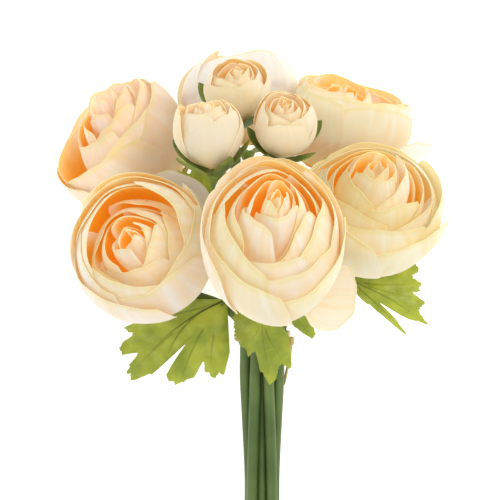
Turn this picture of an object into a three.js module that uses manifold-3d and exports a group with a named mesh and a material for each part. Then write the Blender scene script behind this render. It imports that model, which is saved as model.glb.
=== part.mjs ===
// A posy of ranunculus, lying on its back: six full blooms in a ring round three buds, each on its own
// stem, with cut leaves on the stems and a raffia tie that holds the bundle.
// Millimetres. +Z is up, away from the surface that the posy lies on, and the stems run towards -Y.
import * as THREE from "three";
import Module from "manifold-3d";

const wasm = await Module();
wasm.setup();

// ---------- Driving dimensions ----------
const stem = { radius: 2.5, sides: 7, steps: 12, pitch: 5.5 };
const petalThickness = 0.8;
const leafThickness = 0.8;
const seatGap = 0.3;
const headGap = 0.6; // between heads that press against each other
const pressFrom = 0.25; // share of a head's reach, from its middle, that stays as it is
const goldenAngle = 137.5;

// The bundle's line, from the middle of the tie to the cut ends.
const tieCentre = new THREE.Vector3(5.5, -37.7, 45);
const cutEnd = new THREE.Vector3(5.6, -166, 13.8);

// The places here are measured from the middle of the heads, and the posy is moved so that the origin lies
// on the surface, under the middle of its box.
const toOrigin = new THREE.Vector3(1.7, 37.5, 0);

// Each head: the middle of its globe, where it faces, its widest radius, and its place among the stems.
// turn starts the spiral of petals, and gape is how far the outermost wrap over, in degrees from the seat.
// tall, widen and lengthen stretch the globe, and taper narrows it towards its seat. A guard is a loose outer
// petal that leans away from it, and sag is how far the stem keeps its line under the head and above the tie,
// in shares of that stretch.
const bloomSize = { petals: 12, tall: 1, heartHeight: 1.6, heartGape: 120, taper: 0, widen: 1, lengthen: 1 };
const budSize = {
  petals: 7, gape: 122, tall: 1.05, heartHeight: 1.7, heartGape: 125, taper: 0.35, widen: 1, lengthen: 1,
};
const blooms = [
  {
    name: "front", centre: [10.9, 6, 122], faces: [0.05, 0.6, 0.8], girth: 32, gape: 93, turn: 20,
    slot: 2, sag: [0.25, 0.5], tall: 1.1, lengthen: 1.31, heartHeight: 1.85,
    guards: [
      { towards: [0.98, -0.33, 0], reach: 1.38, rise: 0.6, wrap: 66, half: 32 },
      { towards: [-0.6, 0.8, 0], reach: 1.15, rise: 0.8, wrap: 70, half: 22 },
    ],
  },
  {
    name: "left", centre: [-48, 1.2, 88], faces: [-0.22, 0.4, 0.89], girth: 33, gape: 104, turn: 75,
    slot: 0, heartHeight: 1.25, lengthen: 1.04,
    guards: [{ towards: [0.35, 0.94, 0], reach: 1.2, rise: 0.95, wrap: 88, half: 34 }],
  },
  {
    name: "right", centre: [54.5, 22, 77], faces: [0.12, 0.6, 0.78], girth: 34, gape: 104, turn: 140,
    slot: 3, heartHeight: 1.68,
  },
  {
    name: "upper_left", centre: [-60.5, 50, 32.4], faces: [-0.66, 0.62, 0.42], girth: 32.5, gape: 104,
    turn: 200, slot: 4, sag: [0.42, 0.28], heartHeight: 1.4,
  },
  {
    name: "upper_right", centre: [41, 61, 40.6], faces: [0.24, 0.93, 0.24], girth: 32, gape: 112,
    turn: 265, slot: 8, tall: 0.84, widen: 1.08, heartHeight: 1.1,
    guards: [{ towards: [0.95, -0.1, 0.1], reach: 1.46, rise: 0.95, wrap: 76, half: 34 }],
  },
  {
    name: "top", centre: [-1.5, 71, 31], faces: [-0.03, 0.99, -0.05], girth: 29, gape: 148, turn: 320,
    slot: 7, sag: [0.42, 0.5], tall: 0.78, widen: 1.13, heartHeight: 1.2,
  },
];
const buds = [
  { name: "left", centre: [-17.5, 52.7, 97], faces: [-0.08, 0.92, 0.36], girth: 17.3, turn: 10, slot: 1 },
  { name: "right", centre: [14.7, 55.7, 91], faces: [0.1, 0.72, 0.66], girth: 16.2, turn: 100, slot: 6 },
  { name: "top", centre: [-5.6, 71.5, 73], faces: [0.05, 0.75, 0.6], girth: 15.6, turn: 220, slot: 5 },
];

// Where the nine stems stand in the bundle, across and in front of its line, in pitches: four side by side
// in front at the tie, and drawn round into three columns where they cross lower down.
const tiedSlots = [
  [-1.5, 0.4], [-0.55, 1.0], [0.5, 0.95], [1.5, 0.35], [-1.2, -0.5], [0, 0.02], [1.05, -0.52],
  [-0.5, -1.42], [0.55, -1.4],
];
const crossedSlots = [
  [-1.0, 0], [-0.85, 1.02], [0.85, 1.0], [1.0, 0], [-0.62, -0.95], [0, 0.46], [0.6, -0.95],
  [-0.5, -1.95], [0.5, -1.95],
];
const crossingAt = 0.62; // share of the way from the tie to the cut ends
const endSpread = 1.2;

// Leaves: the blade's root, and its edge as [degrees, distance] about the root, anticlockwise from +X.
// rise and arch lift or drop the blade along its length, ripple waves it from side to side.
const leaves = [
  {
    name: "left", root: [-10.5, -22.5, 52], onStem: "bloom_left", rise: -0.1, arch: -5, ripple: 1.6,
    edge: [
      [180, 15], [191, 27], [196, 50], [200, 47], [203, 52], [208, 54.5], [211, 48], [216, 56], [221, 58],
      [225, 48], [227, 28], [231, 44], [238, 46.5], [243, 42], [247, 37], [249, 31], [253, 35], [261, 37],
      [267, 34], [273, 24],
    ],
  },
  {
    name: "centre", root: [5.3, -29.2, 63.6], onStem: "bloom_front", rise: -0.2, arch: -4, ripple: 1,
    edge: [
      [154, 12], [178, 12.5], [200, 13.5], [224, 15.5], [235, 17.5], [243, 17], [252, 20], [260, 17.5],
      [265, 21], [269, 26], [278, 32.6], [283, 30], [288, 25], [292, 24], [297, 28], [314, 19], [331, 11],
      [362, 7],
    ],
  },
  {
    name: "right", root: [46, -14, 50], onStem: "bloom_right", rise: 0.02, arch: -5, ripple: 1.5,
    edge: [
      [296, 8], [308, 14], [312, 20], [316, 37], [319, 30], [323, 17], [327, 33], [331, 41], [337, 34],
      [342, 36], [348, 30], [356, 33.5], [362, 29], [372, 32], [379, 26], [388, 16], [400, 8],
    ],
  },
  {
    name: "small", root: [16, -25.5, 56], onStem: "bloom_right", rise: -0.05, arch: -2, ripple: 0.8,
    edge: [[280, 6], [291, 9], [298, 12], [304, 15.5], [311, 20], [319, 18.5], [328, 13], [340, 7]],
  },
  {
    name: "inner", root: [-18, 12, 56], onStem: "bud_left", rise: 0.05, arch: -2, ripple: 1.2,
    edge: [
      [50, 8], [62, 18], [74, 25], [82, 22], [92, 29], [103, 31], [112, 25], [121, 28], [131, 24], [142, 16],
      [155, 9],
    ],
  },
  {
    name: "back_left", root: [-22, -9, 24], onStem: "bloom_upper_left", rise: -0.04, arch: -3, ripple: 1.2,
    edge: [
      [172, 9], [182, 20], [189, 33], [194, 28], [200, 37], [206, 39], [212, 31], [219, 36], [226, 32],
      [233, 22], [243, 11],
    ],
  },
];

// The raffia: turns round the bundle, and the loop of its bow that hangs beside the stems.
const raffia = { radius: 0.8, sides: 5, turns: 2, pitch: 1.9, slack: 1, below: 1.5 };

// ---------- Small helpers ----------
const radians = THREE.MathUtils.degToRad;
const mix = THREE.MathUtils.lerp;

function solidFrom(positions, triangles) {
  const mesh = new wasm.Mesh({
    numProp: 3,
    vertProperties: new Float32Array(positions),
    triVerts: new Uint32Array(triangles),
  });
  return new wasm.Manifold(mesh);
}

// A thin closed blade: pointAt(across, along, depth) gives its outer face at depth 0 and its inner at 1.
function bladeSolid(pointAt, acrossCells, alongCells) {
  const positions = [];
  const triangles = [];
  const layer = (acrossCells + 1) * (alongCells + 1);
  for (const depth of [0, 1]) {
    for (let j = 0; j <= alongCells; j++) {
      for (let i = 0; i <= acrossCells; i++) {
        positions.push(...pointAt((2 * i) / acrossCells - 1, j / alongCells, depth).toArray());
      }
    }
  }
  const at = (i, j) => j * (acrossCells + 1) + i;
  for (let j = 0; j < alongCells; j++) {
    for (let i = 0; i < acrossCells; i++) {
      const [a, b, c, d] = [at(i, j), at(i + 1, j), at(i + 1, j + 1), at(i, j + 1)];
      const halves = (i + j) % 2 ? [[a, b, c], [a, c, d]] : [[a, b, d], [b, c, d]];
      for (const [p, q, r] of halves) {
        triangles.push(p, q, r, layer + p, layer + r, layer + q);
      }
    }
  }
  const rim = [];
  for (let i = 0; i < acrossCells; i++) rim.push(at(i, 0));
  for (let j = 0; j < alongCells; j++) rim.push(at(acrossCells, j));
  for (let i = acrossCells; i > 0; i--) rim.push(at(i, alongCells));
  for (let j = alongCells; j > 0; j--) rim.push(at(0, j));
  rim.forEach((p, k) => {
    const q = rim[(k + 1) % rim.length];
    triangles.push(q, p, layer + p, q, layer + p, layer + q);
  });
  const solid = solidFrom(positions, triangles);
  return solid.volume() < 0 ? solidFrom(positions, triangles.reverse()) : solid;
}

function solidOfGeometry(geometry) {
  const flat = geometry.index ? geometry.toNonIndexed() : geometry;
  const corners = flat.getAttribute("position");
  const seen = new Map();
  const positions = [];
  const triangles = [];
  for (let k = 0; k < corners.count; k++) {
    const p = [corners.getX(k), corners.getY(k), corners.getZ(k)];
    const key = p.map((v) => Math.round(v * 1e4)).join();
    if (!seen.has(key)) {
      seen.set(key, seen.size);
      positions.push(...p);
    }
    triangles.push(seen.get(key));
  }
  const whole = [];
  for (let k = 0; k < triangles.length; k += 3) {
    const [a, b, c] = triangles.slice(k, k + 3);
    if (a !== b && b !== c && c !== a) whole.push(a, b, c);
  }
  return solidFrom(positions, whole);
}

function tubeSolid(curve, radius, sides, steps) {
  const section = new THREE.Shape();
  for (let k = 0; k < sides; k++) {
    const angle = (2 * Math.PI * k) / sides;
    const [x, y] = [radius * Math.cos(angle), radius * Math.sin(angle)];
    if (k) section.lineTo(x, y);
    else section.moveTo(x, y);
  }
  section.closePath();
  const geometry = new THREE.ExtrudeGeometry(section, { steps, extrudePath: curve, bevelEnabled: false });
  return solidOfGeometry(geometry);
}

const joined = (solids) => solids.reduce((whole, next) => whole.add(next));

function meshOf(name, solid, material) {
  const made = solid.getMesh();
  const positions = new Float32Array(made.numVert * 3);
  for (let k = 0; k < made.numVert; k++) {
    positions.set(made.vertProperties.subarray(k * made.numProp, k * made.numProp + 3), k * 3);
  }
  const geometry = new THREE.BufferGeometry();
  geometry.setAttribute("position", new THREE.BufferAttribute(positions, 3));
  geometry.setIndex(new THREE.BufferAttribute(made.triVerts, 1));
  geometry.computeVertexNormals();
  const mesh = new THREE.Mesh(geometry, material);
  mesh.name = name;
  return mesh;
}

// ---------- Petals ----------
// A petal lies on one of a nest of cups, each an ellipse turned about the head's axis, which starts at the
// cup's own root height on the receptacle, swells to reach, and wraps inwards above it.
function cupPoint(cup, swing, angle, inset) {
  const normal = new THREE.Vector2(cup.rise * Math.sin(angle), -cup.reach * Math.cos(angle)).normalize();
  const narrowed = 1 - cup.taper * Math.max(0, Math.cos(angle)) ** 2;
  const rho = cup.reach * Math.sin(angle) * narrowed - normal.x * inset;
  const z = cup.rootHeight + cup.rise * (1 - Math.cos(angle)) - normal.y * inset;
  return new THREE.Vector3(rho * Math.cos(swing), rho * Math.sin(swing), z);
}

// Petal number k, from the heart outwards. Towards the outside the cups crowd together, and their rims lie
// lower and wrap less, so that the heart stands up in them like a ball.
function petalCup(head, k) {
  const out = k / (head.petals - 1);
  const gape = radians(mix(head.heartGape, head.gape, out ** 2));
  const rootHeight = head.girth * head.heartRoot * (1 - out);
  const outerRim = head.tall * (1 - Math.cos(radians(head.gape)));
  const rimHeight = head.girth * mix(head.heartHeight, outerRim, out ** 2);
  return {
    reach: head.girth * (1 - (1 - head.heartReach) * (1 - out) * (0.55 + 0.45 * (1 - out))),
    rootHeight,
    taper: head.taper,
    rise: (rimHeight - rootHeight) / (1 - Math.cos(gape)),
    gape: gape + radians(4) * Math.sin(2.4 * k + head.turn),
    swing: radians(head.turn + (head.petals - 1 - k) * goldenAngle),
    halfWidth: radians(mix(80, 64, out)),
    cells: out < 0.35 ? [3, 3] : [4, 3],
  };
}

function petalSolid(cup) {
  const rootAngle = Math.asin(Math.min(0.5, 1.6 / cup.reach));
  return bladeSolid((across, along, depth) => {
    const corner = 1 - 0.16 * Math.abs(across) ** 3;
    const angle = mix(rootAngle, cup.gape, along * corner);
    const width = along < 0.1 ? 0.35 : 1 - 0.15 * along ** 3;
    const swing = cup.swing + across * cup.halfWidth * width;
    return cupPoint(cup, swing, angle, depth * petalThickness);
  }, ...cup.cells);
}

// A guard petal hangs away from the globe like part of a saucer.
function guardSolid(head, guard) {
  const cup = { reach: head.girth * guard.reach, rise: head.girth * guard.rise, rootHeight: -1.3, taper: 0 };
  const lean = new THREE.Vector3(...guard.towards).applyQuaternion(head.turnFrame.clone().invert());
  return bladeSolid((across, along, depth) => {
    const corner = 1 - 0.16 * Math.abs(across) ** 3;
    const angle = mix(radians(3), radians(guard.wrap), along * corner);
    const width = along < 0.1 ? 0.5 : 1 - 0.25 * along ** 3;
    const swing = Math.atan2(lean.y, lean.x) + across * radians(guard.half) * width;
    return cupPoint(cup, swing, angle, depth * petalThickness);
  }, 4, 4);
}

function flowerSolid(head) {
  const top = head.girth * head.heartRoot + 3;
  const foot = head.calyxFloor + seatGap;
  const receptacle = new THREE.LatheGeometry(
    [[0, foot], [2.7, foot], [2.2, top - 1], [0, top]].map(([r, z]) => new THREE.Vector2(r, z)), 5,
  ).rotateX(Math.PI / 2);
  const blades = [];
  for (let k = 0; k < head.petals; k++) blades.push(petalSolid(petalCup(head, k)));
  for (const guard of head.guards) blades.push(guardSolid(head, guard));
  return joined([solidOfGeometry(receptacle), ...blades]).scale([head.widen, head.lengthen, 1]);
}

// ---------- Calyx and stem ----------
function sepalSolid(head, swing) {
  const { sepal } = head;
  const cup = {
    reach: head.girth * sepal.spread,
    rise: head.girth * sepal.cup,
    rootHeight: head.calyxFloor - 0.7,
    taper: head.taper,
  };
  const rootAngle = 2.6 / cup.reach;
  const tipAngle = rootAngle + sepal.length / cup.reach;
  return bladeSolid((across, along, depth) => {
    const angle = mix(rootAngle, tipAngle, along);
    const halfArc = sepal.halfWidth * (0.3 + 1.7 * along - 1.9 * along ** 2);
    const turn = swing + (across * halfArc) / (cup.reach * Math.sin(angle));
    return cupPoint(cup, turn, angle, -depth * petalThickness);
  }, 2, 2);
}

function calyxSolid(head) {
  const floor = head.calyxFloor;
  const collar = new THREE.LatheGeometry(
    [[0, floor - 5], [1.8, floor - 5], [4, floor], [0, floor]]
      .map(([r, z]) => new THREE.Vector2(r, z)), 7,
  ).rotateX(Math.PI / 2);
  const sepals = [];
  for (let k = 0; k < 5; k++) sepals.push(sepalSolid(head, radians(head.turn + 72 * k)));
  return joined([solidOfGeometry(collar), ...sepals]);
}

const bundleAxis = cutEnd.clone().sub(tieCentre).normalize();
const bundleSide = new THREE.Vector3(1, 0, 0);
const bundleFront = bundleAxis.clone().cross(bundleSide).normalize();

// A stem's place in the bundle, at a share of the way from the tie to the cut ends.
function bundlePoint(slot, share) {
  const drawn = Math.min(1, share / crossingAt);
  const ease = drawn * drawn * (3 - 2 * drawn);
  const spread = 1 + (endSpread - 1) * Math.max(0, (share - crossingAt) / (1 - crossingAt));
  const across = mix(tiedSlots[slot][0], crossedSlots[slot][0], ease) * spread;
  const ahead = mix(tiedSlots[slot][1], crossedSlots[slot][1], ease) * spread;
  return tieCentre.clone().lerp(cutEnd, share)
    .addScaledVector(bundleSide, across * stem.pitch)
    .addScaledVector(bundleFront, ahead * stem.pitch);
}

// From under the head, over a bend, into the bundle and down to the cut end.
function stemCurve(head) {
  const start = pressed(head, head.seat.clone().addScaledVector(head.axis, head.calyxFloor - 3.5));
  const tied = bundlePoint(head.slot, 0);
  const span = start.distanceTo(tied);
  const bend = new THREE.CubicBezierCurve3(
    start,
    start.clone().addScaledVector(head.axis, -head.sag[0] * span),
    tied.clone().addScaledVector(bundleAxis, -head.sag[1] * span),
    tied,
  );
  const points = bend.getPoints(5);
  for (const share of [0.16, 0.34, 0.52, 0.7, 0.85]) points.push(bundlePoint(head.slot, share));
  points.push(bundlePoint(head.slot, 1 - 0.03 * ((head.slot * 2) % 3)));
  return new THREE.CatmullRomCurve3(points, false, "centripetal");
}

// ---------- Heads ----------
const common = { heartReach: 0.17, heartRoot: 0.5, guards: [], sag: [0.42, 0.38] };
// fullness is how far the sepals stand off the globe, and calyxFloor is how far they start below its seat.
const bloomCalyx = {
  fullness: 1, calyxFloor: -2.6,
  sepal: { length: 13, halfWidth: 3.4, spread: 1.4, cup: 0.78 },
};
const budCalyx = {
  fullness: 1.14, calyxFloor: -1.6,
  sepal: { length: 24, halfWidth: 5.6, spread: 1.18, cup: 1.14 },
};

function finished(kind, defaults, head) {
  const axis = new THREE.Vector3(...head.faces).normalize();
  const full = { ...common, ...defaults, ...head, kind, axis };
  full.turnFrame = new THREE.Quaternion().setFromUnitVectors(new THREE.Vector3(0, 0, 1), axis);
  full.middle = new THREE.Vector3(...head.centre);
  full.globe = new THREE.Vector3(full.widen, full.lengthen, full.tall)
    .multiplyScalar(full.girth * full.fullness);
  full.seat = full.middle.clone().addScaledVector(axis, -full.tall * full.girth);
  return full;
}

const heads = [
  ...blooms.map((head) => finished("bloom", { ...bloomSize, ...bloomCalyx }, head)),
  ...buds.map((head) => finished("bud", { ...budSize, ...budCalyx }, head)),
];

// How far a head's globe, with its sepals, reaches from its middle in a direction.
function reachTowards(head, direction) {
  const local = direction.clone().applyQuaternion(head.turnFrame.clone().invert());
  return local.multiply(head.globe).length();
}

// Heads that would overlap are pressed flatter towards each other, in equal shares.
for (const head of heads) {
  head.presses = [];
  for (const other of heads) {
    if (other === head) continue;
    const towards = other.middle.clone().sub(head.middle);
    const apart = towards.length() - headGap;
    towards.normalize();
    const reach = reachTowards(head, towards);
    const share = apart / (reach + reachTowards(other, towards));
    if (share < 1) head.presses.push({ towards, reach, share });
  }
}

function pressed(head, point) {
  const place = point.clone();
  for (const { towards, reach, share } of head.presses) {
    const depth = place.clone().sub(head.middle).dot(towards);
    const firm = pressFrom * reach;
    const slack = (reach * (1 - share)) / (reach - firm);
    if (depth > firm) place.addScaledVector(towards, -(depth - firm) * slack);
  }
  return place;
}

function placed(solid, head) {
  const matrix = new THREE.Matrix4().compose(head.seat, head.turnFrame, new THREE.Vector3(1, 1, 1));
  return solid.transform(matrix.toArray()).warp((point) => {
    [point[0], point[1], point[2]] = pressed(head, new THREE.Vector3(...point)).toArray();
  });
}

// ---------- Leaves ----------
function leafSolid(leaf) {
  const root = new THREE.Vector3(...leaf.root);
  const longest = Math.max(...leaf.edge.map(([, reach]) => reach));
  const cells = leaf.edge.length - 1;
  const blade = bladeSolid((across, along, depth) => {
    const [angle, reach] = leaf.edge[Math.round(((across + 1) / 2) * cells)];
    const distance = reach * mix(0.06, 1, along);
    const share = distance / longest;
    const wave = leaf.ripple * share * Math.cos(radians(9 * (angle - leaf.edge[0][0])));
    const lift = leaf.rise * distance + leaf.arch * share ** 2 + wave;
    return new THREE.Vector3(
      distance * Math.cos(radians(angle)),
      distance * Math.sin(radians(angle)),
      lift - (depth - 0.5) * leafThickness,
    ).add(root);
  }, cells, 2);
  const curve = heads.find((head) => `${head.kind}_${head.name}` === leaf.onStem).curve;
  const line = curve.getSpacedPoints(stem.steps);
  const marks = line.slice(1).flatMap((next, k) => (
    [0, 0.2, 0.4, 0.6, 0.8].map((share) => line[k].clone().lerp(next, share))
  ));
  const nearest = marks.reduce((a, b) => (b.distanceTo(root) < a.distanceTo(root) ? b : a));
  const outward = root.clone().sub(nearest).normalize();
  const stalkStart = nearest.clone().addScaledVector(outward, stem.radius + seatGap);
  const middle = leaf.edge[Math.floor(leaf.edge.length / 2)][0];
  const inBlade = new THREE.Vector3(Math.cos(radians(middle)), Math.sin(radians(middle)), leaf.rise)
    .multiplyScalar(3).add(root);
  const stalk = tubeSolid(new THREE.QuadraticBezierCurve3(stalkStart, root, inBlade), 1.1, 6, 3);
  return blade.add(stalk);
}

// ---------- Raffia tie ----------
// The line round the bundle at the tie, at its own clearance from the stems, for an angle of its normal.
function roundBundle(angle) {
  const normal = new THREE.Vector2(Math.cos(angle), Math.sin(angle));
  const slots = tiedSlots.map((place) => new THREE.Vector2(...place).multiplyScalar(stem.pitch));
  const outermost = slots.reduce((a, b) => (b.dot(normal) > a.dot(normal) ? b : a));
  return outermost.clone().addScaledVector(normal, stem.radius + raffia.radius + raffia.slack);
}

function tieSolid() {
  const stepsPerTurn = 14;
  const steps = raffia.turns * stepsPerTurn;
  const turns = [];
  for (let k = 0; k <= steps; k++) {
    const flat = roundBundle((2 * Math.PI * k) / stepsPerTurn);
    const down = raffia.below + (k / stepsPerTurn - raffia.turns / 2) * raffia.pitch;
    turns.push(tieCentre.clone()
      .addScaledVector(bundleSide, flat.x)
      .addScaledVector(bundleFront, flat.y)
      .addScaledVector(bundleAxis, down));
  }
  const knotAt = turns[turns.length - 1].clone();
  const offKnot = (across, down, ahead) => knotAt.clone()
    .addScaledVector(bundleSide, across)
    .addScaledVector(bundleAxis, down)
    .addScaledVector(bundleFront, ahead);
  const bow = new THREE.CatmullRomCurve3([
    offKnot(0.2, 0.5, 0), offKnot(0.4, 5, -2.6), offKnot(-0.4, 12, -3.4), offKnot(-1.6, 19, -3.8),
    offKnot(-2.2, 21.5, -4.8), offKnot(-1.6, 19, -6), offKnot(-0.2, 12, -6.2), offKnot(0.8, 5, -4.6),
    offKnot(0.8, 0.5, -1),
  ]);
  const knot = new THREE.SphereGeometry(1.9, 7, 5).scale(0.85, 1.5, 1.1);
  return joined([
    tubeSolid(new THREE.CatmullRomCurve3(turns), raffia.radius, raffia.sides, steps),
    tubeSolid(bow, raffia.radius, 5, 14),
    solidOfGeometry(knot).translate(offKnot(0.5, 0, 0).toArray()),
  ]);
}

// ---------- Assembly ----------
const finish = (color, roughness) => new THREE.MeshStandardMaterial({ color, roughness, metalness: 0 });
const petalFinish = finish(0xf8dcb4, 0.7);
const budFinish = finish(0xf9e4c0, 0.7);
const stemFinish = finish(0x6f8f52, 0.5);
const leafFinish = finish(0x9aa83a, 0.6);
const raffiaFinish = finish(0xd8b06a, 0.75);

const posy = new THREE.Group();
posy.position.copy(toOrigin);
for (const head of heads) {
  head.curve = stemCurve(head);
  const flower = placed(flowerSolid(head), head);
  const green = placed(calyxSolid(head), head)
    .add(tubeSolid(head.curve, stem.radius, stem.sides, stem.steps));
  posy.add(meshOf(`${head.kind}_${head.name}`, flower, head.kind === "bud" ? budFinish : petalFinish));
  posy.add(meshOf(`stem_${head.kind}_${head.name}`, green, stemFinish));
}
for (const leaf of leaves) posy.add(meshOf(`leaf_${leaf.name}`, leafSolid(leaf), leafFinish));
posy.add(meshOf("raffia_tie", tieSolid(), raffiaFinish));

export default posy;
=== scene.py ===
import math
import random

import bmesh
import bpy
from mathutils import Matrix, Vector, noise


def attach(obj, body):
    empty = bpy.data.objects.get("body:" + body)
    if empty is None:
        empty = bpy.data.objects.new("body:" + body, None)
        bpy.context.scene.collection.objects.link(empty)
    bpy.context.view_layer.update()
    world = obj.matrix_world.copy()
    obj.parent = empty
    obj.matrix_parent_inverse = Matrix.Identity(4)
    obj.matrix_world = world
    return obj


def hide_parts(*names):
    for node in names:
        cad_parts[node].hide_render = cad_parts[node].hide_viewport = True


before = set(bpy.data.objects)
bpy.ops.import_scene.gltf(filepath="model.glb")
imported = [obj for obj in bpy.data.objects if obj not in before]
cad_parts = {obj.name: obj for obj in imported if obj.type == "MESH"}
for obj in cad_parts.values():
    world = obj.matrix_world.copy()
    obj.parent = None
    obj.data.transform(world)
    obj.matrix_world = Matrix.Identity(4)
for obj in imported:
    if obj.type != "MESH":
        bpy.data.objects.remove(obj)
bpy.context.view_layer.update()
print("frame loaded:", len(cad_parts), "nodes")

# The bunch's own sizes are in millimetres, measured from the middle of its heads.
mm = 0.001
toOrigin = Vector((1.7, 37.5, 0))
upright = Vector((0, 0, 1))


def mix(a, b, share):
    return a + (b - a) * share


def ramped(low, high, value):
    share = min(1, max(0, (value - low) / (high - low)))
    return share * share * (3 - 2 * share)


def inFrame(point):
    return (point + toOrigin) * mm


def hexColour(code):
    channels = [int(code[k:k + 2], 16) / 255 for k in (0, 2, 4)]
    linear = [c / 12.92 if c <= 0.04045 else ((c + 0.055) / 1.055) ** 2.4 for c in channels]
    return linear + [1.0]


# ---- finishes

def newGroup(name, inputs, outputs):
    group = bpy.data.node_groups.new(name, "ShaderNodeTree")
    for title, kind, value in inputs:
        socket = group.interface.new_socket(name=title, in_out="INPUT", socket_type=kind)
        if value is not None:
            socket.default_value = value
    for title, kind in outputs:
        group.interface.new_socket(name=title, in_out="OUTPUT", socket_type=kind)
    return group, group.nodes.new("NodeGroupInput"), group.nodes.new("NodeGroupOutput")


def feed(tree, socket, value):
    if isinstance(value, (int, float, list)):
        socket.default_value = value
    else:
        tree.links.new(value, socket)


def mathNode(tree, operation, first, second):
    node = tree.nodes.new("ShaderNodeMath")
    node.operation = operation
    feed(tree, node.inputs[0], first)
    feed(tree, node.inputs[1], second)
    return node.outputs[0]


def mixColours(tree, factor, first, second, blend="MIX"):
    node = tree.nodes.new("ShaderNodeMix")
    node.data_type = "RGBA"
    node.blend_type = blend
    for title, value in (("Factor", factor), ("A", first), ("B", second)):
        feed(tree, node.inputs[title], value)
    return node.outputs["Result"]


def colourRamp(tree, factor, stops):
    node = tree.nodes.new("ShaderNodeValToRGB")
    elements = node.color_ramp.elements
    while len(elements) < len(stops):
        elements.new(1.0)
    for element, (place, code) in zip(elements, stops):
        element.position = place
        element.color = hexColour(code)
    tree.links.new(factor, node.inputs["Fac"])
    return node.outputs["Color"]


def noiseNode(tree, vector, scale, detail):
    node = tree.nodes.new("ShaderNodeTexNoise")
    feed(tree, node.inputs["Scale"], scale)
    feed(tree, node.inputs["Detail"], detail)
    tree.links.new(vector, node.inputs["Vector"])
    return node.outputs["Fac"]


def patternPlace(tree, *parts):
    # where a pattern is read: each part is a value of the surface, times how dense the pattern is along it
    node = tree.nodes.new("ShaderNodeCombineXYZ")
    for socket, (value, density) in zip(node.inputs, parts):
        tree.links.new(mathNode(tree, "MULTIPLY", value, density), socket)
    return node.outputs["Vector"]


cloth = dict(threads=900.0, slub=0.5, distortion=1.5, threadDetail=1.0, slubScale=420.0, slubDetail=4.0)
drift = dict(scale=40.0, detail=3.0, lightBelow=0.35, darkAbove=0.65)


def clothGrainGroup():
    # fine crossed threads with a little slub, as a height
    group, given, out = newGroup(
        "clothGrain",
        [("Vector", "NodeSocketVector", None), ("Threads", "NodeSocketFloat", cloth["threads"]),
         ("Slub", "NodeSocketFloat", cloth["slub"])],
        [("Height", "NodeSocketFloat")])
    bands = []
    for direction in ("X", "Y"):
        wave = group.nodes.new("ShaderNodeTexWave")
        wave.wave_type = "BANDS"
        wave.bands_direction = direction
        wave.inputs["Distortion"].default_value = cloth["distortion"]
        wave.inputs["Detail"].default_value = cloth["threadDetail"]
        group.links.new(given.outputs["Vector"], wave.inputs["Vector"])
        group.links.new(given.outputs["Threads"], wave.inputs["Scale"])
        bands.append(wave.outputs["Fac"])
    slub = noiseNode(group, given.outputs["Vector"], cloth["slubScale"], cloth["slubDetail"])
    threads = mathNode(group, "MULTIPLY", bands[0], bands[1])
    rough = mathNode(group, "MULTIPLY", slub, given.outputs["Slub"])
    group.links.new(mathNode(group, "ADD", threads, rough), out.inputs["Height"])
    return group


def toneDriftGroup():
    # slow change from one tone to another over a surface
    group, given, out = newGroup(
        "toneDrift",
        [("Vector", "NodeSocketVector", None), ("Scale", "NodeSocketFloat", drift["scale"]),
         ("Light", "NodeSocketColor", None), ("Dark", "NodeSocketColor", None)],
        [("Color", "NodeSocketColor")])
    patches = noiseNode(group, given.outputs["Vector"], given.outputs["Scale"], drift["detail"])
    share = group.nodes.new("ShaderNodeMapRange")
    share.inputs["From Min"].default_value = drift["lightBelow"]
    share.inputs["From Max"].default_value = drift["darkAbove"]
    group.links.new(patches, share.inputs["Value"])
    tone = mixColours(group, share.outputs["Result"], given.outputs["Light"], given.outputs["Dark"])
    group.links.new(tone, out.inputs["Color"])
    return group


clothGrain = clothGrainGroup()
toneDrift = toneDriftGroup()


def newFinish(name, surface):
    material = bpy.data.materials.new(name)
    material.use_nodes = True
    shader = material.node_tree.nodes["Principled BSDF"]
    for title, value in surface.items():
        shader.inputs[title].default_value = value
    return material, material.node_tree, shader


def objectPlace(tree):
    return tree.nodes.new("ShaderNodeTexCoord").outputs["Object"]


def placeGroup(tree, group, **values):
    # a shared effect, read by the piece's own place
    node = tree.nodes.new("ShaderNodeGroup")
    node.node_tree = group
    tree.links.new(objectPlace(tree), node.inputs["Vector"])
    for title, value in values.items():
        node.inputs[title].default_value = value
    return node.outputs[0]


def driftOf(tree, look):
    return placeGroup(tree, toneDrift, Scale=look["patches"], Light=hexColour(look["light"]),
                      Dark=hexColour(look["dark"]))


def grainOf(tree, look):
    return placeGroup(tree, clothGrain, Threads=look["threads"], Slub=look["slub"])


def readAttribute(tree, name):
    node = tree.nodes.new("ShaderNodeAttribute")
    node.attribute_name = name
    return node.outputs["Fac"]


def addBump(tree, shader, height, look):
    bump = tree.nodes.new("ShaderNodeBump")
    bump.inputs["Strength"].default_value = look["bump"]
    bump.inputs["Distance"].default_value = look["bumpDepth"]
    tree.links.new(height, bump.inputs["Height"])
    tree.links.new(bump.outputs["Normal"], shader.inputs["Normal"])


# What both silks share. Streaks run along a petal, and each petal's own tint moves their pattern.
silkHabit = dict(
    surface={"Roughness": 0.6, "Subsurface Weight": 0.6, "Subsurface Scale": 0.0009,
             "Subsurface Radius": (1.0, 0.8, 0.6), "Sheen Weight": 0.1, "Sheen Roughness": 0.5,
             "Specular IOR Level": 0.3},
    streaksAcross=7.0, streaksAlong=1.6, streaksByTint=40.0, streakScale=1.0, streakDetail=4.0,
    streakMiddle=0.5, washStrength=0.75, rimFrom=0.955, rimFull=0.98, rimWander=0.06, threads=1100.0,
    slub=0.6, grainShare=0.2, bump=0.3, bumpDepth=0.0008)


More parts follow.
